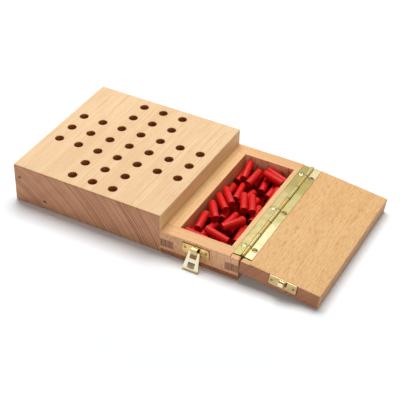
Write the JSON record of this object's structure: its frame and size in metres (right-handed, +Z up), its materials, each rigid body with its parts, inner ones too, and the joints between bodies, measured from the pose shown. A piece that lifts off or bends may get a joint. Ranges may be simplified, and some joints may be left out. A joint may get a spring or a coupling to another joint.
{
  "type": "peg solitaire board",
  "caption": "Peg solitaire board: a drilled wooden block with a peg tray fixed to one side, a lid on a strip hinge, a swinging catch and loose cylindrical pegs.",
  "frame": {"origin": "on the underside of the playing block, straight below its centre hole", "axes": "+X from the block over the tray to the opened lid, +Y to the back, away from the latch, +Z up"},
  "size_m": [0.2607, 0.1391, 0.034],
  "materials": {
    "beech_block": "satin lacquer",
    "beech_tray": "satin lacquer",
    "beech_lid": "satin lacquer",
    "hinge_brass": "brushed, plated",
    "screw_metal": "bright, plated",
    "latch_brass": "polished, plated",
    "nail_brass": "polished",
    "red_peg": "red stain, satin"
  },
  "bodies": {
    "board": {"playing_block": "beech_block", "tray_floor": "beech_tray", "tray_left_wall": "beech_tray", "tray_right_wall": "beech_tray", "tray_front_wall": "beech_tray", "tray_back_wall": "beech_tray", "hinge_leaf_tray": "hinge_brass", "hinge_pin": "hinge_brass", "hinge_screws_tray": "screw_metal", "latch_plate": "latch_brass", "latch_plate_nails": "nail_brass", "peg_01": "red_peg", "peg_02": "red_peg", "peg_03": "red_peg", "peg_04": "red_peg", "peg_05": "red_peg", "peg_06": "red_peg", "peg_07": "red_peg", "peg_08": "red_peg", "peg_09": "red_peg", "peg_10": "red_peg", "peg_11": "red_peg", "peg_12": "red_peg", "peg_13": "red_peg", "peg_14": "red_peg", "peg_15": "red_peg", "peg_16": "red_peg", "peg_17": "red_peg", "peg_18": "red_peg", "peg_19": "red_peg"},
    "lid": {"lid_panel": "beech_lid", "hinge_leaf_lid": "hinge_brass", "hinge_screws_lid": "screw_metal", "strike_plate": "latch_brass", "strike_plate_nails": "nail_brass"},
    "latch_lever": {"latch_lever": "latch_brass"},
    "peg_20": {"peg_20": "red_peg"},
    "peg_21": {"peg_21": "red_peg"},
    "peg_22": {"peg_22": "red_peg"},
    "peg_23": {"peg_23": "red_peg"},
    "peg_24": {"peg_24": "red_peg"},
    "peg_25": {"peg_25": "red_peg"},
    "peg_26": {"peg_26": "red_peg"},
    "peg_27": {"peg_27": "red_peg"},
    "peg_28": {"peg_28": "red_peg"},
    "peg_29": {"peg_29": "red_peg"},
    "peg_30": {"peg_30": "red_peg"},
    "peg_31": {"peg_31": "red_peg"},
    "peg_32": {"peg_32": "red_peg"}
  },
  "joints": [
    {"name": "lid_hinge", "type": "hinge", "parent": "board", "child": "lid", "pos_m": [0.1313, 0, 0.01995], "axis": [0, 1, 0], "range_deg": [-186.75, 0]},
    {"name": "latch_swing", "type": "hinge", "parent": "board", "child": "latch_lever", "pos_m": [0.0957, -0.06745, 0.0129], "axis": [1, 0, 0], "range_deg": [-151.3, 0]},
    {"name": "peg_20_lift", "type": "slide", "parent": "board", "child": "peg_20", "axis": [0, 0, 1], "range_m": [0, 0.05]},
    {"name": "peg_21_lift", "type": "slide", "parent": "board", "child": "peg_21", "axis": [0, 0, 1], "range_m": [0, 0.05]},
    {"name": "peg_22_lift", "type": "slide", "parent": "board", "child": "peg_22", "axis": [0, 0, 1], "range_m": [0, 0.05]},
    {"name": "peg_23_lift", "type": "slide", "parent": "board", "child": "peg_23", "axis": [0, 0, 1], "range_m": [0, 0.05]},
    {"name": "peg_24_lift", "type": "slide", "parent": "board", "child": "peg_24", "axis": [0, 0, 1], "range_m": [0, 0.05]},
    {"name": "peg_25_lift", "type": "slide", "parent": "board", "child": "peg_25", "axis": [0, 0, 1], "range_m": [0, 0.05]},
    {"name": "peg_26_lift", "type": "slide", "parent": "board", "child": "peg_26", "axis": [0, 0, 1], "range_m": [0, 0.05]},
    {"name": "peg_27_lift", "type": "slide", "parent": "board", "child": "peg_27", "axis": [0, 0, 1], "range_m": [0, 0.05]},
    {"name": "peg_28_lift", "type": "slide", "parent": "board", "child": "peg_28", "axis": [0, 0, 1], "range_m": [0, 0.05]},
    {"name": "peg_29_lift", "type": "slide", "parent": "board", "child": "peg_29", "axis": [0, 0, 1], "range_m": [0, 0.05]},
    {"name": "peg_30_lift", "type": "slide", "parent": "board", "child": "peg_30", "axis": [0, 0, 1], "range_m": [0, 0.05]},
    {"name": "peg_31_lift", "type": "slide", "parent": "board", "child": "peg_31", "axis": [0, 0, 1], "range_m": [0, 0.05]},
    {"name": "peg_32_lift", "type": "slide", "parent": "board", "child": "peg_32", "axis": [0, 0, 1], "range_m": [0, 0.05]}
  ]
}
